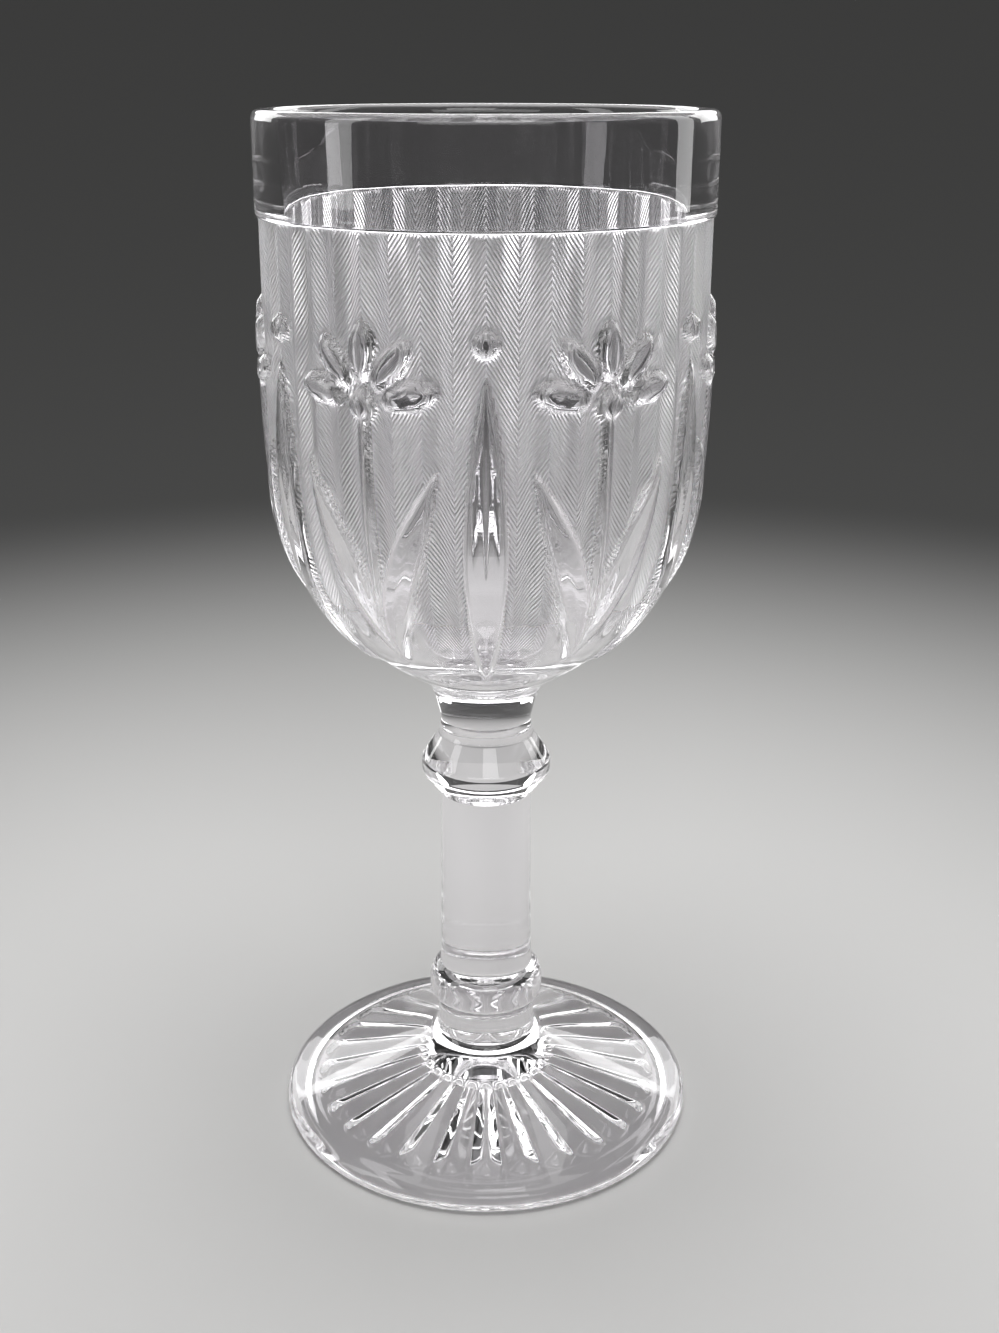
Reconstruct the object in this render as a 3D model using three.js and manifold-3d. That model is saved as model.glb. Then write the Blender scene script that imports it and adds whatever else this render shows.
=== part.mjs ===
// A pressed-glass wine goblet: a ribbed bowl with raised sprigs, a knopped stem and a rayed foot.
// Millimetres, +Z up. The origin is the centre of the base, and the front of the goblet faces -Y.
import * as THREE from "three";
import { mergeVertices } from "three/addons/utils/BufferGeometryUtils.js";
import Module from "manifold-3d";

// Foot
const footRadius = 29.5;
const footEdge = 2.9; // glass at the outer edge
const footEdgeRound = 1.3;
const bearingWidth = 1.8; // flat ring that stands on the table
const footRise = 11.3; // height at which the spread meets the boss
const bossRadius = 7;
const bossHeight = 6;
const bossFillet = 1.4;
const hollowRadius = 8.5; // flat middle of the hollow underside
const hollowHeight = 4.3;
const hollowEdge = 1.1; // height of the hollow where it turns down to the bearing ring
const hollowRound = 2; // width of that turn
const spreadSlope = 15; // degrees, where the spread begins to rise at the edge

// Rays moulded into the underside of the foot, V-shaped in section
const rayCount = 28;
const rayMargin = 0.3; // plain glass between the rays and the turn of the hollow
const rayDepth = 1.5;
const rayOuterWidth = 4.9;
const rayInnerWidth = 1.85;
const rayTip = 1.8; // length of a ray's round end

// Stem
const ringRadius = 8.15;
const ringHeight = 5.1;
const ringEdge = 1.4; // upright edge of the ring
const ringShoulder = 0.9; // curves below and above that edge
const shaftFootRadius = 6.6;
const shaftTopRadius = 6.35;
const shaftLength = 27.1;
const shaftFlare = 6.7; // height over which the foot of the shaft widens
const knopRadius = 8.95;
const knopHeight = 8.7;
const knopEdge = 2; // upright edge round the knop
const knopUpperBevel = 3.6;
const knopSoftening = 0.5;
const neckFootRadius = 6.6;
const neckWaistRadius = 6.2;
const neckWaistHeight = 2.3;
const neckTopRadius = 6.85;
const neckHeight = 5.1;
const neckLean = 14; // degrees from upright, where the neck runs into the bowl

// Bowl
const bowlHeight = 76.7;
const bandRadius = 28.55;
const bandHeight = 12.5; // plain band below the lip
const bandStep = 0.4; // how far the ribbed ground lies behind the band
const flareRadius = 9.7; // where the flare off the neck turns into the side
const flareHeight = 4;
const flareSlope = 31; // degrees above level
const sideHeight = 48.6; // where the side becomes upright
const sideLowerPull = 19.8; // lengths of the side curve's handles
const sideUpperPull = 24.9;
const rimWall = 2.9;
const lipRound = 1.2;
const lipLand = 0.5; // flat top of the lip
const wallDraft = 3; // degrees, the cavity narrowing downwards
const floorThickness = 8; // glass from the neck up to the cavity
const floorPull = 15; // lengths of the cavity curve's handles
const cavityPull = 28;

// Ribs on the ground of the bowl
const ribCount = 48;
const ribDepth = 0.55;
const ribFade = 12; // the ribs fade in between these heights
const ribFull = 22;

// Sprigs standing on the ground of the bowl
const sprigCount = 6;
const reliefHeight = 1;
const reliefRoot = 1; // how deep the relief is rooted in the wall
const heartHeight = 45; // where the lobes of a palmette spring from
const heartRadius = 2.1;
const heartRelief = 1.2;
const lobeCount = 5;
const lobeFan = 78; // degrees from the upright lobe to the lowest ones
const lobeReach = 6; // from the heart to the middle of a lobe
const lobeLength = 8.4;
const lobeWidth = 4.1;
const stalkWidth = 1.1;
const stalkFoot = 19;
const leafFoot = 11;
const leafTip = 38;
const leafSpread = 9; // how far a leaf's tip lies beside its stalk
const leafWidth = 5.4;
const lanceFoot = 8;
const lanceTip = 49;
const lanceWidth = 6;
const pearlRadius = 1.9;
const pearlGap = 1.4; // between a lance's tip and its pearl
const bladeEnd = 0.12; // width of a blade's ends, as a share of its middle
const bladeEdge = 0.7; // height of a blade's edges, as a share of its keel
const bladeBend = 1.3; // 1 is straight, more bends the tip outwards
const bladeFullness = 0.8; // less makes the blade fuller towards its ends

// Facets
const footSteps = 56;
const stemSteps = 40;
const cavitySteps = 44;
const stepsPerRib = 2;
const chordError = 0.14;
const leafSteps = 6;
const raySides = 4;
const bossSteps = [10, 4];

const wasm = await Module();
wasm.setup();

// Points along a path, close enough that no chord strays from its curve by more than the tolerance
function outline(path) {
  const points = [path.curves[0].getPoint(0)];
  for (const curve of path.curves) {
    const turn = curve.getTangent(0).angleTo(curve.getTangent(1));
    const steps = Math.ceil(Math.sqrt((curve.getLength() * turn) / (8 * chordError)));
    points.push(...curve.getPoints(Math.max(1, steps)).slice(1));
  }
  return points;
}

// A revolved profile of (radius, height) points, from the axis outwards and back to it
function turned(path, steps) {
  return new THREE.LatheGeometry(outline(path), steps).rotateX(Math.PI / 2);
}

function toSolid(geometry) {
  const bare = new THREE.BufferGeometry();
  bare.setAttribute("position", geometry.getAttribute("position"));
  bare.setIndex(geometry.index);
  const merged = mergeVertices(bare);
  const triVerts = [];
  for (let i = 0; i < merged.index.count; i += 3) {
    const corners = [0, 1, 2].map((k) => merged.index.getX(i + k));
    if (new Set(corners).size === 3) triVerts.push(...corners);
  }
  return new wasm.Manifold(
    new wasm.Mesh({
      numProp: 3,
      vertProperties: merged.getAttribute("position").array,
      triVerts: Uint32Array.from(triVerts),
    }),
  );
}

function toGeometry(solid) {
  const { vertProperties, triVerts } = solid.getMesh();
  const geometry = new THREE.BufferGeometry();
  geometry.setAttribute("position", new THREE.BufferAttribute(vertProperties, 3));
  geometry.setIndex(new THREE.BufferAttribute(triVerts, 1));
  geometry.computeVertexNormals();
  return geometry;
}

// The foot: edge, spread and boss turned, with the rays cut into its hollow underside
function footGeometry() {
  const bearingOuter = footRadius - footEdgeRound;
  const bearingInner = bearingOuter - bearingWidth;
  const bossTop = footRise + bossHeight;
  const filletRadius = bossRadius + bossFillet;
  const filletFoot = footRise - bossFillet / 2;
  const slope = Math.tan(THREE.MathUtils.degToRad(spreadSlope));
  const edgeTop = footEdge + footEdgeRound * slope;
  const halfway = (bearingOuter - filletRadius) / 2;
  const hollowTurn = bearingInner - hollowRound;
  const fall = (hollowHeight - hollowEdge) / (hollowTurn - hollowRadius);
  const path = new THREE.Path();
  path.moveTo(0, hollowHeight);
  path.lineTo(hollowRadius, hollowHeight);
  path.lineTo(hollowTurn, hollowEdge);
  path.quadraticCurveTo(
    bearingInner - hollowRound / 2,
    hollowEdge - (fall * hollowRound) / 2,
    bearingInner,
    0,
  );
  path.lineTo(bearingOuter, 0);
  path.quadraticCurveTo(footRadius, 0, footRadius, footEdgeRound);
  path.lineTo(footRadius, footEdge - footEdgeRound);
  path.quadraticCurveTo(footRadius, footEdge, bearingOuter, edgeTop);
  path.quadraticCurveTo(
    bearingOuter - halfway,
    edgeTop + halfway * slope,
    filletRadius,
    filletFoot,
  );
  path.quadraticCurveTo(bossRadius, footRise, bossRadius, footRise + bossFillet);
  path.lineTo(bossRadius, bossTop);
  path.lineTo(0, bossTop);
  const body = toSolid(turned(path, footSteps));

  const rayFoot = new THREE.Vector2(hollowRadius, hollowHeight);
  const along = new THREE.Vector2(hollowTurn, hollowEdge).sub(rayFoot);
  const rayLength = along.length() - rayMargin - rayTip;
  along.normalize();
  const half = new THREE.Path();
  half.moveTo(0, 0);
  half.lineTo(rayInnerWidth / 2, 0);
  half.lineTo(rayOuterWidth / 2, rayLength);
  half.absellipse(0, rayLength, rayOuterWidth / 2, rayTip, 0, Math.PI / 2, false);
  const ray = new THREE.LatheGeometry(outline(half), raySides);
  ray.scale(1, 1, rayDepth / (rayOuterWidth / 2));
  const lay = new THREE.Matrix4().makeBasis(
    new THREE.Vector3(0, 1, 0),
    new THREE.Vector3(along.x, 0, along.y),
    new THREE.Vector3(along.y, 0, -along.x),
  );
  ray.applyMatrix4(lay.setPosition(rayFoot.x, 0, rayFoot.y));
  let cut = body;
  for (let i = 0; i < rayCount; i += 1) {
    cut = cut.subtract(toSolid(ray));
    ray.rotateZ((2 * Math.PI) / rayCount);
  }
  return toGeometry(cut);
}

// The ring at the lower end of the shaft: undercut below, sloping in to the shaft above
function ringGeometry() {
  const path = new THREE.Path();
  path.moveTo(0, 0);
  path.lineTo(bossRadius, 0);
  path.quadraticCurveTo(ringRadius, 0, ringRadius, ringShoulder);
  path.lineTo(ringRadius, ringShoulder + ringEdge);
  path.quadraticCurveTo(ringRadius, ringHeight - ringShoulder, shaftFootRadius, ringHeight);
  path.lineTo(0, ringHeight);
  return turned(path, stemSteps);
}

// The shaft, drawn a little thinner towards its top
function shaftGeometry() {
  const path = new THREE.Path();
  path.moveTo(0, 0);
  path.lineTo(shaftFootRadius, 0);
  path.quadraticCurveTo(shaftTopRadius, shaftFlare, shaftTopRadius, shaftLength);
  path.lineTo(0, shaftLength);
  return turned(path, stemSteps);
}

// The knop: two bevels that meet an upright edge
function knopGeometry() {
  const path = new THREE.Path();
  const edgeTop = knopHeight - knopUpperBevel;
  path.moveTo(0, 0);
  path.lineTo(shaftTopRadius, 0);
  path.lineTo(knopRadius, edgeTop - knopEdge);
  path.quadraticCurveTo(knopRadius, edgeTop, knopRadius - knopSoftening, edgeTop + knopSoftening);
  path.lineTo(neckFootRadius, knopHeight);
  path.lineTo(0, knopHeight);
  return turned(path, stemSteps);
}

// The waisted neck that carries the bowl
function neckGeometry() {
  const lean = THREE.MathUtils.degToRad(neckLean);
  const leanStart = neckHeight - (neckTopRadius - neckWaistRadius) / Math.tan(lean);
  const path = new THREE.Path();
  path.moveTo(0, 0);
  path.lineTo(neckFootRadius, 0);
  path.quadraticCurveTo(neckWaistRadius, neckWaistHeight / 2, neckWaistRadius, neckWaistHeight);
  path.quadraticCurveTo(neckWaistRadius, leanStart, neckTopRadius, neckHeight);
  path.lineTo(0, neckHeight);
  return turned(path, stemSteps);
}

// The ribbed side of the bowl, from the neck up to the step below the plain band
const groundRadius = bandRadius - bandStep;
const ledgeHeight = bowlHeight - bandHeight;

function bowlSide() {
  const slope = THREE.MathUtils.degToRad(flareSlope);
  const lean = THREE.MathUtils.degToRad(neckLean);
  const rise = flareHeight - (flareRadius - neckTopRadius) * Math.tan(slope);
  const corner = rise / (Math.cos(lean) - Math.sin(lean) * Math.tan(slope));
  const path = new THREE.Path();
  path.moveTo(neckTopRadius, 0);
  path.quadraticCurveTo(
    neckTopRadius + corner * Math.sin(lean),
    corner * Math.cos(lean),
    flareRadius,
    flareHeight,
  );
  path.bezierCurveTo(
    flareRadius + sideLowerPull * Math.cos(slope),
    flareHeight + sideLowerPull * Math.sin(slope),
    groundRadius,
    sideHeight - sideUpperPull,
    groundRadius,
    sideHeight,
  );
  path.lineTo(groundRadius, ledgeHeight);
  return path;
}

const side = bowlSide();

// Where the side reaches a height: the point and the direction of the outline there
function sideAt(height) {
  let low = 0;
  let high = 1;
  while (high - low > 1e-6) {
    const middle = (low + high) / 2;
    if (side.getPointAt(middle).y < height) low = middle;
    else high = middle;
  }
  return { point: side.getPointAt(low), along: side.getTangentAt(low) };
}

// A frame on the side, at an angle from the front: x runs round the bowl, y up it and z out of it
function wallFrame(angle, height, lift = 0) {
  const { point, along } = sideAt(height);
  const outward = new THREE.Vector3(Math.sin(angle), -Math.cos(angle), 0);
  const round = new THREE.Vector3(Math.cos(angle), Math.sin(angle), 0);
  const upward = outward.clone().multiplyScalar(along.x).setZ(along.y);
  const normal = outward.clone().multiplyScalar(along.y).setZ(-along.x);
  const origin = outward.clone().multiplyScalar(point.x).setZ(point.y).addScaledVector(normal, lift);
  return new THREE.Matrix4().makeBasis(round, upward, normal).setPosition(origin);
}

const onWall = (angle, height, lift) =>
  new THREE.Vector3().setFromMatrixPosition(wallFrame(angle, height, lift));

// A closed body through rings of points, all with the same count
function loft(rings) {
  const count = rings[0].length;
  const last = (rings.length - 1) * count;
  const index = [];
  for (let i = 0; i + 1 < rings.length; i += 1) {
    for (let j = 0; j < count; j += 1) {
      const k = (j + 1) % count;
      const a = i * count;
      const b = a + count;
      index.push(a + j, b + k, a + k, a + j, b + j, b + k);
    }
  }
  for (let j = 1; j + 1 < count; j += 1) {
    index.push(0, j, j + 1);
    index.push(last, last + j + 1, last + j);
  }
  const geometry = new THREE.BufferGeometry().setFromPoints(rings.flat());
  return geometry.setIndex(index);
}

// A keeled blade on the wall, from one height to another, its tip set sideways by the spread
function blade(angle, foot, tip, spread, width, shape) {
  const rings = [];
  for (let i = 0; i <= leafSteps; i += 1) {
    const share = i / leafSteps;
    const height = foot + (tip - foot) * share;
    const radius = sideAt(height).point.x;
    const middle = angle + (spread * share ** bladeBend) / radius;
    const reach = (width / 2 / radius) * shape(share);
    const keel = reliefHeight * Math.sqrt(shape(share));
    const edge = keel * bladeEdge;
    rings.push([
      onWall(middle - reach, height, -reliefRoot),
      onWall(middle + reach, height, -reliefRoot),
      onWall(middle + reach, height, edge),
      onWall(middle, height, keel),
      onWall(middle - reach, height, edge),
    ]);
  }
  return toSolid(loft(rings));
}

const leafShape = (share) =>
  bladeEnd + (1 - bladeEnd) * Math.abs(Math.sin(Math.PI * share)) ** bladeFullness;
const stalkShape = () => 1;

// A round boss on the wall, such as a lobe, a heart or a pearl, widest at its root
function boss(angle, height, turn, width, length, relief) {
  const depth = relief + reliefRoot;
  const atWall = Math.sqrt(1 - (reliefRoot / depth) ** 2);
  const ball = new THREE.SphereGeometry(1, ...bossSteps).rotateX(Math.PI / 2);
  ball.scale(width / 2 / atWall, length / 2 / atWall, depth).rotateZ(-turn);
  return toSolid(ball.applyMatrix4(wallFrame(angle, height, -reliefRoot)));
}

// A palmette: lobes that fan out from a heart
function palmette(angle) {
  const radius = sideAt(heartHeight).point.x;
  const parts = [boss(angle, heartHeight, 0, 2 * heartRadius, 2 * heartRadius, heartRelief)];
  for (let i = 0; i < lobeCount; i += 1) {
    const turn = THREE.MathUtils.degToRad(lobeFan * ((2 * i) / (lobeCount - 1) - 1));
    const aside = (lobeReach * Math.sin(turn)) / radius;
    const above = lobeReach * Math.cos(turn);
    parts.push(boss(angle + aside, heartHeight + above, turn, lobeWidth, lobeLength, reliefHeight));
  }
  return parts;
}

// One sprig: a palmette on its stalk with a leaf to each side, and a lance with its pearl beside it
function sprig(angle) {
  const between = angle + Math.PI / sprigCount;
  const pearlHeight = lanceTip + pearlGap + pearlRadius;
  return [
    ...palmette(angle),
    blade(angle, stalkFoot, heartHeight, 0, stalkWidth, stalkShape),
    blade(angle, leafFoot, leafTip, leafSpread, leafWidth, leafShape),
    blade(angle, leafFoot, leafTip, -leafSpread, leafWidth, leafShape),
    blade(between, lanceFoot, lanceTip, 0, lanceWidth, leafShape),
    boss(between, pearlHeight, 0, 2 * pearlRadius, 2 * pearlRadius, reliefHeight),
  ];
}

// The bowl: outside turned and ribbed, sprigs added, cavity cut out
function bowlGeometry() {
  const lip = Math.min(lipRound, (rimWall - lipLand) / 2);
  const path = new THREE.Path();
  path.moveTo(0, 0);
  path.lineTo(neckTopRadius, 0);
  path.curves.push(...side.curves);
  path.currentPoint.set(groundRadius, ledgeHeight);
  path.lineTo(bandRadius, ledgeHeight + bandStep);
  path.lineTo(bandRadius, bowlHeight - lip);
  path.absarc(bandRadius - lip, bowlHeight - lip, lip, 0, Math.PI / 2, false);
  path.lineTo(0, bowlHeight);
  const outside = turned(path, ribCount * stepsPerRib);
  const position = outside.getAttribute("position");
  const vertex = new THREE.Vector3();
  for (let i = 0; i < position.count; i += 1) {
    vertex.fromBufferAttribute(position, i);
    if (vertex.z > ribFade && vertex.z < ledgeHeight + bandStep / 2) {
      const angle = Math.atan2(vertex.x, -vertex.y);
      const hollow = (1 - Math.cos(ribCount * angle)) / 2;
      const depth = ribDepth * hollow * THREE.MathUtils.smoothstep(vertex.z, ribFade, ribFull);
      const share = 1 - depth / Math.hypot(vertex.x, vertex.y);
      position.setXY(i, vertex.x * share, vertex.y * share);
    }
  }
  let bowl = toSolid(outside);
  for (let i = 0; i < sprigCount; i += 1) {
    const angle = ((i + 0.5) * 2 * Math.PI) / sprigCount;
    for (const part of sprig(angle)) bowl = bowl.add(part);
  }
  return toGeometry(bowl.subtract(cavitySolid(lip)));
}

// The space inside the bowl, run on past the lip so that it cuts clean through
function cavitySolid(lip) {
  const mouth = bandRadius - rimWall;
  const belly = mouth - (bowlHeight - sideHeight) * Math.tan(THREE.MathUtils.degToRad(wallDraft));
  const path = new THREE.Path();
  path.moveTo(0, floorThickness);
  path.bezierCurveTo(floorPull, floorThickness, belly, sideHeight - cavityPull, belly, sideHeight);
  path.lineTo(mouth, bowlHeight - lip);
  path.absarc(mouth + lip, bowlHeight - lip, lip, Math.PI, Math.PI / 2, true);
  path.lineTo(mouth + lip, bowlHeight + lip);
  path.lineTo(0, bowlHeight + lip);
  return toSolid(turned(path, cavitySteps));
}

// The goblet: each portion stands on the one below it
const clearGlass = { color: 0xe9eef0, roughness: 0.04, metalness: 0, transparent: true, opacity: 0.35 };
const portions = [
  ["foot", footGeometry, footRise + bossHeight],
  ["stem_ring", ringGeometry, ringHeight],
  ["stem_shaft", shaftGeometry, shaftLength],
  ["stem_knop", knopGeometry, knopHeight],
  ["stem_neck", neckGeometry, neckHeight],
  ["bowl", bowlGeometry, bowlHeight],
];

const goblet = new THREE.Group();
let level = 0;
for (const [name, geometry, height] of portions) {
  const mesh = new THREE.Mesh(geometry(), new THREE.MeshStandardMaterial(clearGlass));
  mesh.name = name;
  mesh.position.z = level;
  goblet.add(mesh);
  level += height;
}

export default goblet;
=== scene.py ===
import math

import bmesh
import bpy
import numpy as np
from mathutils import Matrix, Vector
from mathutils.geometry import interpolate_bezier


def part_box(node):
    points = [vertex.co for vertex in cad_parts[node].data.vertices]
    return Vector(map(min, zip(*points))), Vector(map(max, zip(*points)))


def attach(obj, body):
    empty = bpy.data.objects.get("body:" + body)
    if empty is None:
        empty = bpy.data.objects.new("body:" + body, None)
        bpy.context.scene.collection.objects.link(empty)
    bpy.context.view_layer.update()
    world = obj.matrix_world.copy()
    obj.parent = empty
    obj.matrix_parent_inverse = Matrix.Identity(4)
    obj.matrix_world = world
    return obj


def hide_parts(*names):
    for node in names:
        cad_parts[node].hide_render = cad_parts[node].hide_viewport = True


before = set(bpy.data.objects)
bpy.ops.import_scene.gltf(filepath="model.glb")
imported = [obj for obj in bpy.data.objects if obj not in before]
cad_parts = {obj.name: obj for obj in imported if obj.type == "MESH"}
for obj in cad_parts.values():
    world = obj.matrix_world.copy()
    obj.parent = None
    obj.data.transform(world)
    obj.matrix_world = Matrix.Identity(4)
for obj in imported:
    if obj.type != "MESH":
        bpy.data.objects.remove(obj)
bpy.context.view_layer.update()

mm = 0.001
hairline = 1e-7  # points that lie closer are one point
level = {node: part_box(node)[0].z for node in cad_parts}  # where each portion stands
glassPieces = bpy.data.collections.new("glassPieces")  # lit by the lamps round the glass
stagePieces = bpy.data.collections.new("stagePieces")  # lit by the lamp over the floor
shadePieces = bpy.data.collections.new("shadePieces")  # stays empty: nothing shades that lamp


# a turned profile: points of (radius, height), with round stretches as curves
class Outline:
    def __init__(self, radius, height):
        self.points = [Vector((radius, 0, height))]

    def line(self, radius, height, steps=1):
        start, end = self.points[-1], Vector((radius, 0, height))
        self.points += [start.lerp(end, (i + 1) / steps) for i in range(steps)]
        return self

    def curve(self, first, second, end, steps):
        first, second, end = (Vector((r, 0, z)) for r, z in (first, second, end))
        self.points += interpolate_bezier(self.points[-1], first, second, end, steps + 1)[1:]
        return self

    def round(self, corner, end, steps):  # a corner rounded off on the way to end
        start, corner, end = self.points[-1], *(Vector((r, 0, z)) for r, z in (corner, end))
        first, second = start.lerp(corner, 2 / 3), end.lerp(corner, 2 / 3)
        self.points += interpolate_bezier(start, first, second, end, steps + 1)[1:]
        return self


def turn(outline, steps):
    bm = bmesh.new()
    row = bm.verts.layers.int.new("row")
    verts = [bm.verts.new(point) for point in outline.points]
    for i, vert in enumerate(verts):
        vert[row] = i
    edges = [bm.edges.new(pair) for pair in zip(verts, verts[1:])]
    bmesh.ops.spin(bm, geom=verts + edges, cent=(0, 0, 0), axis=(0, 0, 1),
                   angle=math.tau, steps=steps, use_merge=True)
    bmesh.ops.remove_doubles(bm, verts=bm.verts, dist=hairline)
    bmesh.ops.recalc_face_normals(bm, faces=bm.faces)
    return bm


# the vertices of a turned body: angle from the front, radius, height and the row of its outline
def readTurned(bm):
    layer = bm.verts.layers.int["row"]
    places = np.array([vert.co for vert in bm.verts])
    rows = np.array([vert[layer] for vert in bm.verts])
    angles = np.arctan2(places[:, 0], -places[:, 1])
    return angles, np.hypot(places[:, 0], places[:, 1]), places[:, 2], rows


def writeTurned(bm, angles, radii, heights):
    for vert, a, r, z in zip(bm.verts, angles, radii, heights):
        vert.co = (r * math.sin(a), -r * math.cos(a), z)


def addObject(bm, name, looks):
    for face in bm.faces:
        face.smooth = True
    mesh = bpy.data.meshes.new(name)
    bm.to_mesh(mesh)
    bm.free()
    for look in looks:
        mesh.materials.append(look)
    made = bpy.data.objects.new(name, mesh)
    bpy.context.collection.objects.link(made)
    return made


# joints are the heights of the flat ends where a portion is melted to its neighbour
def finishPiece(bm, node, glass, joints):
    for face in bm.faces:
        heights = [vert.co.z for vert in face.verts]
        flat = max(heights) - min(heights) < hairline
        face.material_index = int(flat and any(abs(heights[0] - z) < 10 * hairline for z in joints))
    for edge in bm.edges:
        if len({face.material_index for face in edge.link_faces}) > 1:
            edge.smooth = False
    piece = addObject(bm, node + "_glass", [glass, meltedGlass])
    glassPieces.objects.link(piece)
    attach(piece, "root")
    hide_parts(node)
    print(node, "has", len(piece.data.polygons), "faces")


# shader values that can be summed like numbers
class Wire:
    def __init__(self, look, socket):
        self.look = look
        self.socket = socket

    def maths(self, operation, first, second):
        return self.look.add("ShaderNodeMath", {"operation": operation}, {0: first, 1: second})

    def __add__(self, other):
        return self.maths("ADD", self, other)

    def __radd__(self, other):
        return self.maths("ADD", other, self)

    def __mul__(self, other):
        return self.maths("MULTIPLY", self, other)

    def __rmul__(self, other):
        return self.maths("MULTIPLY", other, self)

    def __truediv__(self, other):
        return self.maths("DIVIDE", self, other)

    def __rtruediv__(self, other):
        return self.maths("DIVIDE", other, self)


class Look:
    def __init__(self, name):
        self.material = bpy.data.materials.new(name)
        self.material.use_nodes = True
        self.tree = self.material.node_tree
        self.shader = self.tree.nodes["Principled BSDF"]

    def add(self, kind, settings, inputs, out=0):
        node = self.tree.nodes.new(kind)
        for name, value in settings.items():
            setattr(node, name, value)
        for key, value in inputs.items():
            self.feed(node.inputs[key], value)
        return Wire(self, node.outputs[out])

    def feed(self, socket, value):
        if isinstance(value, Wire):
            self.tree.links.new(value.socket, socket)
        else:
            socket.default_value = value

    def set(self, **values):
        for name, value in values.items():
            self.feed(self.shader.inputs[name.replace("_", " ")], value)

    def place(self):
        return self.add("ShaderNodeTexCoord", {}, {}, "Object")

    def noise(self, size):  # size of the waves in metres
        return self.add("ShaderNodeTexNoise", {}, {"Vector": self.place(), "Scale": 1 / size})

    def bump(self, height, distance):
        return self.add("ShaderNodeBump", {}, {"Height": height, "Distance": distance, "Strength": 1.0})


glassSizes = {
    "tint": (0.978, 0.966, 0.984, 1),
    "index": 1.517,
    "polish": 0.006,  # roughness of fire-polished glass
    "haze": 0.02,  # how much rougher it gets in patches
    "hazeSize": 4 * mm,
    "waveSize": 9 * mm,
    "waveDepth": 0.012 * mm,
}


def glassLook(name):
    look = Look(name)
    look.set(Base_Color=glassSizes["tint"], IOR=glassSizes["index"], Transmission_Weight=1.0)
    return look


def plainGlass():
    look = glassLook("plainGlass")
    haze = look.noise(glassSizes["hazeSize"]) * glassSizes["haze"]
    look.set(Roughness=haze + glassSizes["polish"])
    look.set(Normal=look.bump(look.noise(glassSizes["waveSize"]), glassSizes["waveDepth"]))
    return look.material


def fusedGlass():  # where two portions are melted together nothing shows
    look = Look("fusedGlass")
    look.set(Base_Color=glassSizes["tint"], Alpha=0.0)
    return look.material


hatchSizes = {
    "pitch": 0.75 * mm,  # between two hatch lines, up the wall
    "rise": 1.6,  # how steep the lines climb across a rib
    "depth": 0.16 * mm,
    "waves": 0.15,  # share of the depth that the glass's own waves have
    "satin": 0.42,  # added roughness on the hatched ground
}


def hatchedGlass():
    h, ribs = hatchSizes, bowlSizes["ribs"]
    look = glassLook("hatchedGlass")
    x = look.add("ShaderNodeSeparateXYZ", {}, {0: look.place()})
    y = Wire(look, x.socket.node.outputs["Y"])
    angle = look.add("ShaderNodeMath", {"operation": "ARCTAN2"}, {0: x, 1: y * -1.0})
    turns = angle * (ribs / math.tau)
    # every second rib slants the other way
    zigzag = look.add("ShaderNodeMath", {"operation": "PINGPONG"}, {0: turns + ribs, 1: 1.0})
    ribWidth = math.tau * (bowlSizes["bandRadius"] - bowlSizes["bandStep"]) / ribs
    run = look.add("ShaderNodeAttribute", {"attribute_name": "run"}, {}, "Fac")
    ground = look.add("ShaderNodeAttribute", {"attribute_name": "ground"}, {}, "Fac")
    climb = (run + zigzag * (ribWidth * h["rise"])) / h["pitch"]
    lines = look.add("ShaderNodeMath", {"operation": "PINGPONG"}, {0: climb, 1: 0.5})
    height = lines * ground * 2.0 + look.noise(glassSizes["waveSize"]) * h["waves"]
    look.set(Normal=look.bump(height, h["depth"]))
    look.set(Roughness=ground * h["satin"] + glassSizes["polish"])
    return look.material


bowlSizes = {
    "steps": 456,
    "rows": {"end": 3, "flare": 8, "curve": 116, "side": 36, "ledge": 5, "band": 4, "lip": 7,
             "wall": 5, "cavity": 24},
    "ribs": 48,
    "flareEnd": (9.7 * mm, 4 * mm),
    "slope": math.radians(31),
    "lowerPull": 19.8 * mm,
    "upperPull": 24.9 * mm,
    "sideHeight": 48.6 * mm,
    "bandRadius": 28.55 * mm,
    "bandHeight": 12.5 * mm,
    "bandStep": 0.4 * mm,
    "ledgeFoot": (0.1 * mm, 0.05 * mm),  # out and up from the ribbed ground
    "ledgeCorner": 0.15 * mm,
    "ledgeTop": 0.6 * mm,
    "lip": 1.2 * mm,
    "wall": 2.9 * mm,
    "draft": math.radians(3),
    "floor": 8 * mm,
    "floorPull": 15 * mm,
    "cavityPull": 28 * mm,
    "ribDepth": 0.55 * mm,
    "ribFade": (12 * mm, 22 * mm),
}

sprigSizes = {
    "count": 6,
    "relief": 1.0 * mm,
    "heartHeight": 45 * mm,
    "heartRadius": 2.1 * mm,
    "heartRelief": 1.2 * mm,
    "lobes": 5,
    "fan": math.radians(78),
    "lobeReach": 6 * mm,
    "lobeLength": 8.4 * mm,
    "lobeWidth": 4.1 * mm,
    "stalkWidth": 1.1 * mm,
    "stalkFoot": 19 * mm,
    "leaf": {"foot": 11 * mm, "tip": 38 * mm, "spread": 9 * mm, "width": 5.4 * mm},
    "lance": {"foot": 8 * mm, "tip": 49 * mm, "spread": 0, "width": 6 * mm},
    "pearlRadius": 1.9 * mm,
    "pearlGap": 1.4 * mm,
    "bladeEnd": 0.12,
    "bladeBend": 1.3,
    "bladeFullness": 0.8,
    "bladeKeel": 1.3,
    "edge": 0.9 * mm,  # width of the slope round a motif
    "crown": 0.3,  # share of the relief that swells towards the middle
    "clear": 0.3 * mm,  # relief at which ribs and hatch are gone
}


def smooth(low, high, values):
    share = np.clip((values - low) / (high - low), 0, 1)
    return share * share * (3 - 2 * share)


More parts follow.
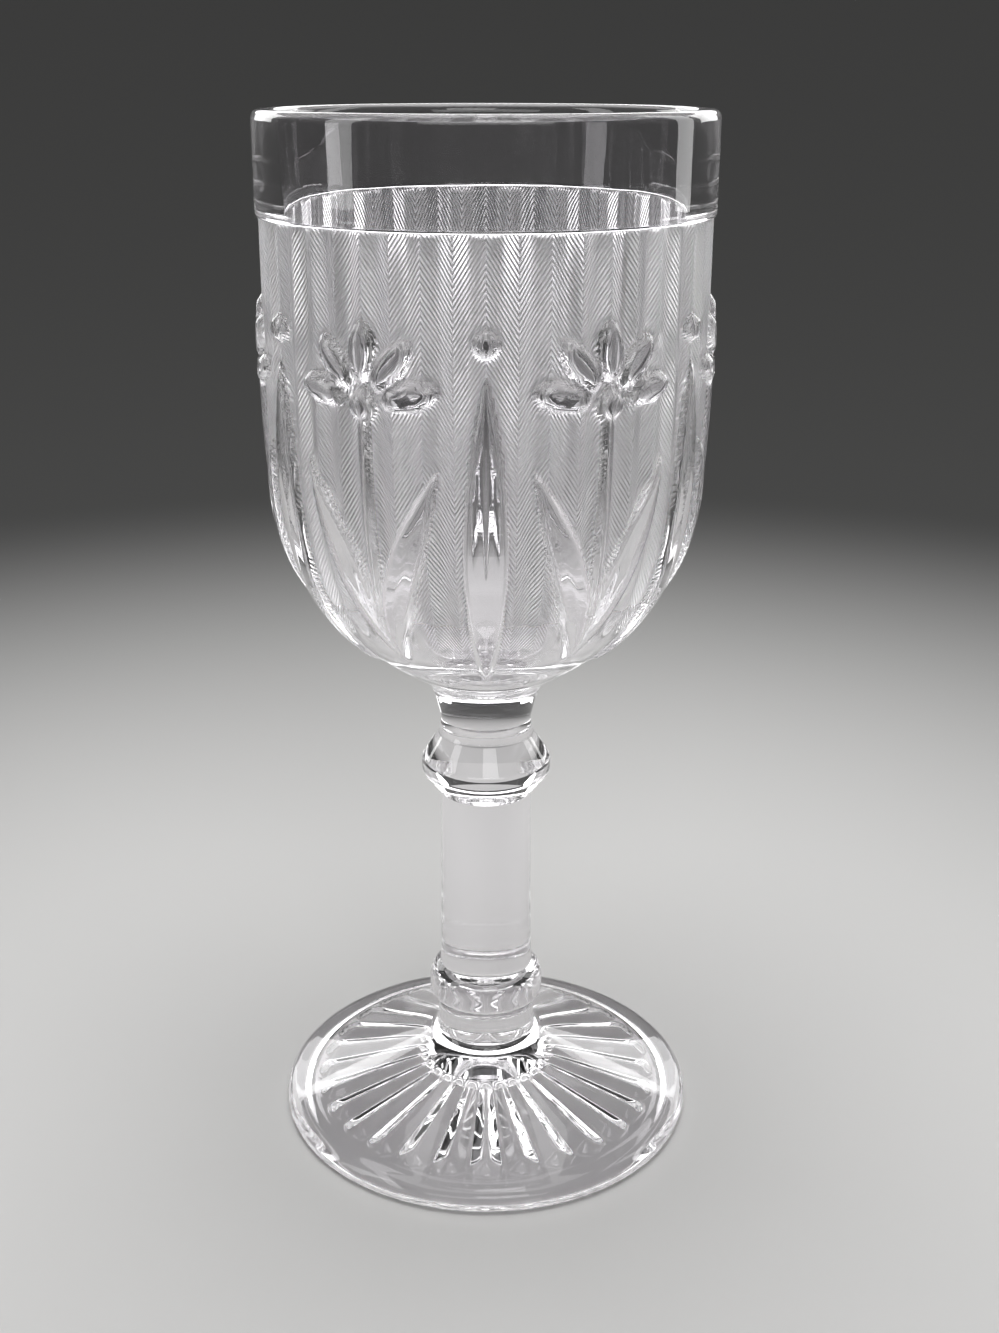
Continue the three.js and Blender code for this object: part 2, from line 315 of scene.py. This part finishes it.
# a raised motif has a steep edge and a fuller middle, both from 0 to 1
def pillow(inside, fullness):
    crown = sprigSizes["crown"]
    return smooth(0, sprigSizes["edge"], inside) * (1 - crown + crown * fullness)


def dome(across, along, width, length):
    reach = np.sqrt((across / (width / 2)) ** 2 + (along / (length / 2)) ** 2)
    return pillow((1 - reach) * width / 2, np.clip(1 - reach ** 2, 0, 1))


def blade(aside, height, sizes):
    s = sprigSizes
    share = np.clip((height - sizes["foot"]) / (sizes["tip"] - sizes["foot"]), 0, 1)
    body = np.sin(np.pi * share) ** s["bladeFullness"]
    half = sizes["width"] / 2 * (s["bladeEnd"] + (1 - s["bladeEnd"]) * body)
    offset = np.abs(aside - sizes["spread"] * share ** s["bladeBend"])
    beyond = np.maximum(sizes["foot"] - height, height - sizes["tip"])
    inside = np.minimum(half - offset, -beyond)
    keel = np.clip(1 - (offset / half) ** s["bladeKeel"], 0, 1)
    return pillow(inside, keel) * np.sqrt(np.clip(body + s["bladeEnd"], 0, 1))


def reliefOn(angles, radii, heights):
    s = sprigSizes
    step = math.tau / s["count"]
    aside = (angles % step - step / 2) * radii
    between = ((angles + step / 2) % step - step / 2) * radii
    up = heights - s["heartHeight"]
    parts = [dome(aside, up, 2 * s["heartRadius"], 2 * s["heartRadius"]) * s["heartRelief"]]
    for i in range(s["lobes"]):
        tilt = s["fan"] * (2 * i / (s["lobes"] - 1) - 1)
        dx = aside - s["lobeReach"] * math.sin(tilt)
        dy = up - s["lobeReach"] * math.cos(tilt)
        across = dx * math.cos(tilt) - dy * math.sin(tilt)
        along = dx * math.sin(tilt) + dy * math.cos(tilt)
        parts.append(dome(across, along, s["lobeWidth"], s["lobeLength"]) * s["relief"])
    pearlUp = heights - s["lance"]["tip"] - s["pearlGap"] - s["pearlRadius"]
    parts.append(dome(between, pearlUp, 2 * s["pearlRadius"], 2 * s["pearlRadius"]) * s["relief"])
    for side in (1, -1):
        parts.append(blade(side * aside, heights, s["leaf"]) * s["relief"])
    parts.append(blade(between, heights, s["lance"]) * s["relief"])
    stalk = np.clip(1 - np.abs(aside) / (s["stalkWidth"] / 2 + s["edge"] / 2), 0, 1)
    stalk[(heights < s["stalkFoot"]) | (up > 0)] = 0
    parts.append(stalk * s["relief"])
    return np.max(parts, axis=0)


def makeBowl():
    b, rows = bowlSizes, bowlSizes["rows"]
    band = b["bandRadius"]
    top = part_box("bowl")[1].z - level["bowl"]
    ledge = top - b["bandHeight"]
    wide = band - b["bandStep"]
    mouth = band - b["wall"]
    belly = mouth - (top - b["sideHeight"]) * math.tan(b["draft"])
    neck, lean, slope = stemSizes["neckTop"], stemSizes["neckLean"], b["slope"]
    flareRadius, flareHeight = b["flareEnd"]
    corner = flareHeight - (flareRadius - neck) * math.tan(slope)
    corner /= math.cos(lean) - math.sin(lean) * math.tan(slope)
    pull = b["lowerPull"]
    path = Outline(0, 0).line(neck, 0, rows["end"])
    path.round((neck + corner * math.sin(lean), corner * math.cos(lean)), b["flareEnd"], rows["flare"])
    first = len(path.points)
    path.curve(
        (flareRadius + pull * math.cos(slope), flareHeight + pull * math.sin(slope)),
        (wide, b["sideHeight"] - b["upperPull"]), (wide, b["sideHeight"]), rows["curve"])
    path.line(wide, ledge, rows["side"])
    last = len(path.points)
    out, up = b["ledgeFoot"]
    path.line(wide + out, ledge + up)
    path.round((band, ledge + b["ledgeCorner"]), (band, ledge + b["ledgeTop"]), rows["ledge"])
    path.line(band, top - b["lip"], rows["band"])
    path.round((band, top), (band - b["lip"], top), rows["lip"])
    path.line(mouth + b["lip"], top)
    path.round((mouth, top), (mouth, top - b["lip"]), rows["lip"])
    path.line(belly, b["sideHeight"], rows["wall"])
    path.curve((belly, b["sideHeight"] - b["cavityPull"]), (b["floorPull"], b["floor"]),
               (0, b["floor"]), rows["cavity"])
    bm = turn(path, b["steps"])

    # the ground of the wall moves out by the relief and in by the ribs
    outline = np.array([(p.x, p.z) for p in path.points])
    along = np.gradient(outline, axis=0)
    along /= np.linalg.norm(along, axis=1)[:, None]
    run = np.cumsum(np.linalg.norm(np.diff(outline, axis=0, prepend=outline[:1]), axis=1))
    angles, radii, heights, row = readTurned(bm)
    ground = (row >= first) & (row < last)
    fade = smooth(*b["ribFade"], heights)
    hollow = (1 - np.cos(b["ribs"] * angles)) / 2
    relief = reliefOn(angles, radii, heights)
    free = 1 - smooth(0, sprigSizes["clear"], relief)
    lift = np.where(ground, relief - b["ribDepth"] * hollow * fade * free, 0)
    radii = radii + lift * along[row, 1]
    heights = heights - lift * along[row, 0]
    writeTurned(bm, angles, radii, heights + level["bowl"])
    runLayer = bm.verts.layers.float.new("run")
    groundLayer = bm.verts.layers.float.new("ground")
    for vert, r, g in zip(bm.verts, run[row], np.where(ground, fade * free, 0)):
        vert[runLayer] = r
        vert[groundLayer] = g
    finishPiece(bm, "bowl", hatchedGlass(), [level["bowl"]])


stemSizes = {
    "steps": 160,
    "rows": {"end": 3, "waist": 10, "lean": 12, "under": 6, "corner": 5, "edge": 2, "over": 7,
             "shaft": 36, "foot": 8, "ring": 4, "shoulder": 10},
    "neckRadius": 6.6 * mm,
    "neckWaist": 6.2 * mm,
    "waistHeight": 2.3 * mm,
    "neckTop": 6.85 * mm,
    "neckLean": math.radians(14),  # off upright, where the neck runs into the bowl
    "knopRadius": 8.95 * mm,
    "knopEdge": 2 * mm,
    "knopBevel": 3.6 * mm,
    "knopUnder": 0.45 * mm,  # how far the rounding goes in and down below the edge
    "knopRound": 0.5 * mm,  # how far it goes along the edge
    "knopOver": (0.4 * mm, 0.5 * mm),  # how far it goes in and up above the edge
    "shaftTop": 6.35 * mm,
    "shaftFoot": 6.6 * mm,
    "shaftFlare": 6.7 * mm,
    "ringRadius": 8.15 * mm,
    "ringEdge": 1.4 * mm,
    "ringShoulder": 0.9 * mm,
    "bossRadius": 7 * mm,
}


def makeStemPiece(node, outline):
    low, high = (corner.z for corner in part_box(node))
    for point in outline.points:
        point.z += low
    finishPiece(turn(outline, stemSizes["steps"]), node, clearGlass, [low, high])


def heightOf(node):
    low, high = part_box(node)
    return high.z - low.z


def neckOutline():
    s, rows, top = stemSizes, stemSizes["rows"], heightOf("stem_neck")
    waist, height = s["neckWaist"], s["waistHeight"]
    leanStart = top - (s["neckTop"] - waist) / math.tan(s["neckLean"])
    path = Outline(0, 0).line(s["neckRadius"], 0, rows["end"])
    path.round((waist, height / 2), (waist, height), rows["waist"])
    path.round((waist, leanStart), (s["neckTop"], top), rows["lean"])
    return path.line(0, top, rows["end"])


def knopOutline():
    s, rows, top = stemSizes, stemSizes["rows"], heightOf("stem_knop")
    edge = s["knopRadius"]
    edgeTop = top - s["knopBevel"]
    edgeFoot = edgeTop - s["knopEdge"]
    inwards, upwards = s["knopOver"]
    path = Outline(0, 0).line(s["shaftTop"], 0, rows["end"])
    path.line(edge - s["knopUnder"], edgeFoot - s["knopUnder"], rows["under"])
    path.round((edge, edgeFoot), (edge, edgeFoot + s["knopRound"]), rows["corner"])
    path.line(edge, edgeTop - s["knopRound"], rows["edge"])
    path.round((edge, edgeTop), (edge - inwards, edgeTop + upwards), rows["corner"])
    path.line(s["neckRadius"], top, rows["over"])
    return path.line(0, top, rows["end"])


def shaftOutline():
    s, rows, top = stemSizes, stemSizes["rows"], heightOf("stem_shaft")
    path = Outline(0, 0).line(s["shaftFoot"], 0, rows["end"])
    path.round((s["shaftTop"], s["shaftFlare"]), (s["shaftTop"], top), rows["shaft"])
    return path.line(0, top, rows["end"])


def ringOutline():
    s, rows, top = stemSizes, stemSizes["rows"], heightOf("stem_ring")
    path = Outline(0, 0).line(s["bossRadius"], 0, rows["end"])
    path.round((s["ringRadius"], 0), (s["ringRadius"], s["ringShoulder"]), rows["foot"])
    path.line(s["ringRadius"], s["ringShoulder"] + s["ringEdge"], rows["ring"])
    path.round((s["ringRadius"], top - s["ringShoulder"]), (s["shaftFoot"], top), rows["shoulder"])
    return path.line(0, top, rows["end"])


footSizes = {
    "steps": 336,
    "rows": {"middle": 6, "cone": 44, "turn": 10, "bearing": 3, "edge": 8, "spread": 28, "fillet": 8,
             "boss": 6, "end": 3},
    "edge": 2.9 * mm,
    "edgeRound": 1.3 * mm,
    "bearing": 1.8 * mm,
    "rise": 11.3 * mm,
    "fillet": 1.4 * mm,
    "hollowRadius": 8.5 * mm,
    "hollowHeight": 4.3 * mm,
    "hollowEdge": 1.1 * mm,  # where the hollow turns down to the bearing ring
    "hollowRound": 2 * mm,
    "slope": math.radians(15),  # where the spread begins to rise at the edge
    "rays": 28,
    "rayMargin": 0.3 * mm,
    "rayDepth": 1.5 * mm,
    "rayOuter": 4.9 * mm,
    "rayInner": 1.85 * mm,
    "rayTip": 1.8 * mm,  # length of the round end
    "rayRounding": 0.12,  # how blunt the crests and roots of the rays are
}


def makeFoot():
    f, rows = footSizes, footSizes["rows"]
    boss = stemSizes["bossRadius"]
    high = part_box("foot")[1]
    radius, top = high.x, high.z
    outer = radius - f["edgeRound"]
    inner = outer - f["bearing"]
    filletRadius, filletFoot = boss + f["fillet"], f["rise"] - f["fillet"] / 2
    edgeTop = f["edge"] + f["edgeRound"] * math.tan(f["slope"])
    halfway = (outer - filletRadius) / 2
    turnRadius = inner - f["hollowRound"]
    fall = (f["hollowHeight"] - f["hollowEdge"]) / (turnRadius - f["hollowRadius"])
    turnHeight = f["hollowEdge"] - fall * f["hollowRound"] / 2
    path = Outline(0, f["hollowHeight"]).line(f["hollowRadius"], f["hollowHeight"], rows["middle"])
    first = len(path.points) - 1
    path.line(turnRadius, f["hollowEdge"], rows["cone"])
    last = len(path.points) - 1
    path.round((inner - f["hollowRound"] / 2, turnHeight), (inner, 0), rows["turn"])
    path.line(outer, 0, rows["bearing"])
    path.round((radius, 0), (radius, f["edgeRound"]), rows["edge"])
    path.line(radius, f["edge"] - f["edgeRound"])
    path.round((radius, f["edge"]), (outer, edgeTop), rows["edge"])
    path.round((outer - halfway, edgeTop + halfway * math.tan(f["slope"])),
               (filletRadius, filletFoot), rows["spread"])
    path.round((boss, f["rise"]), (boss, f["rise"] + f["fillet"]), rows["fillet"])
    path.line(boss, top, rows["boss"])
    path.line(0, top, rows["end"])
    bm = turn(path, f["steps"])

    # the rays rise into the cone of the hollow
    angles, radii, heights, row = readTurned(bm)
    under = (row > first) & (row < last)
    rayEnd = turnRadius - f["rayMargin"]
    share = (radii - f["hollowRadius"]) / (rayEnd - f["hollowRadius"])
    width = f["rayInner"] + (f["rayOuter"] - f["rayInner"]) * np.clip(share, 0, 1)
    step = math.tau / f["rays"]
    aside = ((angles + step / 2) % step - step / 2) * radii
    past = np.clip(radii - (rayEnd - f["rayTip"]), 0, None) / f["rayTip"]
    flank = np.sqrt((aside / (width / 2)) ** 2 + past ** 2 + f["rayRounding"] ** 2)
    groove = np.clip(1 + f["rayRounding"] - flank, 0, 1)
    heights = heights + np.where(under, groove * f["rayDepth"] * width / f["rayOuter"], 0)
    writeTurned(bm, angles, radii, heights)
    finishPiece(bm, "foot", clearGlass, [top])


clearGlass = plainGlass()
meltedGlass = fusedGlass()
makeFoot()
makeStemPiece("stem_ring", ringOutline())
makeStemPiece("stem_shaft", shaftOutline())
makeStemPiece("stem_knop", knopOutline())
makeStemPiece("stem_neck", neckOutline())
makeBowl()
print("goblet turned")


stageSizes = {
    "steps": 96,
    "rows": {"floor": 6, "cove": 16, "wall": 4},
    "floorRadius": 0.4,
    "coveRadius": 0.9,
    "wallTop": 1.5,
    "floorColour": (0.64, 0.636, 0.628, 1),
    "wallColour": (0.05, 0.05, 0.049, 1),
    "matt": 0.85,
    "gap": 0.1 * mm,  # the foot stands on the floor, with a breath of air under it
    "paintedFalloff": (0.07, 0.38),  # where the painted pool of light round the goblet begins and ends to darken into the wall
}


def makeStage():
    s, rows = stageSizes, stageSizes["rows"]
    look = Look("paleFloor")
    # the floor is painted pale round the goblet and darker further out: a painted pool of light that
    # fades into the dark wall
    away = look.add("ShaderNodeVectorMath", {"operation": "LENGTH"}, {0: look.place()}, "Value")
    low, high = s["paintedFalloff"]
    shade = look.add("ShaderNodeMapRange", {"interpolation_type": "SMOOTHSTEP"},
                     {"Value": away, "From Min": low, "From Max": high})
    colour = look.add("ShaderNodeMix", {"data_type": "RGBA"},
                      {"Factor": shade, 6: s["floorColour"], 7: s["wallColour"]}, 2)
    look.set(Base_Color=colour, Roughness=s["matt"])
    wall = s["floorRadius"] + s["coveRadius"]
    path = Outline(0, -s["gap"]).line(s["floorRadius"], -s["gap"], rows["floor"])
    path.round((wall, -s["gap"]), (wall, s["coveRadius"]), rows["cove"])
    path.line(wall, s["wallTop"], rows["wall"])
    floor = addObject(turn(path, s["steps"]), "floor", [look.material])
    stagePieces.objects.link(floor)


# each lamp's place, size and power
lightSizes = {
    "aim": (0, 0, 0.07),
    "world": (0.1, 0.1, 0.102, 1),
    "roomLamps": {
        "topBox": ((0, 0.05, 0.95), (0.7, 0.7), 3.0),
        "frontBox": ((0.15, -0.9, 0.75), (0.5, 0.4), 2.4),
    },
    "glassLamps": {  # shaded off the stage, where their ends would show
        "leftPanel": ((-0.62, -0.2, 0.36), (0.2, 0.68), 1.5),
        "rightPanel": ((0.6, 0.2, 0.36), (0.18, 0.68), 1.2),
        "backBox": ((0, 0.95, 0.48), (1.2, 0.36), 4.0),
        "nearBox": ((0, -0.95, 0.48), (1.2, 0.36), 3.0),
        "leftRim": ((-0.58, 0.6, 0.33), (0.4, 0.4), 2.2),
        "rightRim": ((0.58, 0.6, 0.33), (0.4, 0.4), 2.0),
    },
    "stageLamps": {  # make up for those on the stage
        "floorBox": ((0, 0.1, 1.4), (1.2, 1.2), 13.5),
    },
}


def areaLight(name, place, size, power):
    data = bpy.data.lights.new(name, "AREA")
    data.shape = "RECTANGLE"
    data.size, data.size_y = size
    data.energy = power
    lamp = bpy.data.objects.new(name, data)
    lamp.location = place
    lamp.visible_camera = False
    aim = Vector(lightSizes["aim"]) - Vector(place)
    lamp.rotation_euler = aim.to_track_quat("-Z", "Y").to_euler()
    bpy.context.collection.objects.link(lamp)
    return lamp.light_linking


def makeLight():
    for name, sizes in lightSizes["roomLamps"].items():
        areaLight(name, *sizes)
    for name, sizes in lightSizes["glassLamps"].items():
        areaLight(name, *sizes).receiver_collection = glassPieces
    for name, sizes in lightSizes["stageLamps"].items():
        linking = areaLight(name, *sizes)
        linking.receiver_collection = stagePieces
        linking.blocker_collection = shadePieces
    world = bpy.data.worlds.new("studio")
    bpy.context.scene.world = world
    world.use_nodes = True
    world.node_tree.nodes["Background"].inputs["Color"].default_value = lightSizes["world"]


photoSize = {
    "width": 999,
    "height": 1333,
    "focal": 1649,  # in pixels
    "axis": 486,  # column of the stem
    "lensRow": 666,  # row of the lens's own axis
    "pitch": math.radians(20),
    "away": 212 * mm,
    "above": 144.8 * mm,
    "nearest": 10 * mm,
}


def makeCamera():
    p = photoSize
    data = bpy.data.cameras.new("camera")
    data.lens = p["focal"] / p["height"] * data.sensor_width
    data.shift_x = (p["width"] / 2 - p["axis"]) / p["height"]
    data.shift_y = (p["lensRow"] - p["height"] / 2) / p["height"]
    data.clip_start = p["nearest"]
    camera = bpy.data.objects.new("camera", data)
    camera.location = (0, -p["away"], p["above"])
    camera.rotation_euler = (math.pi / 2 - p["pitch"], 0, 0)
    bpy.context.collection.objects.link(camera)
    bpy.context.scene.camera = camera


makeStage()
makeLight()
makeCamera()
scene = bpy.context.scene
scene.view_settings.view_transform = "Standard"
bounces = 32  # light runs many times round inside the glass
scene.cycles.max_bounces = bounces
scene.cycles.glossy_bounces = bounces
scene.cycles.transmission_bounces = bounces
scene.cycles.transparent_max_bounces = bounces
print("stage, light and camera set")
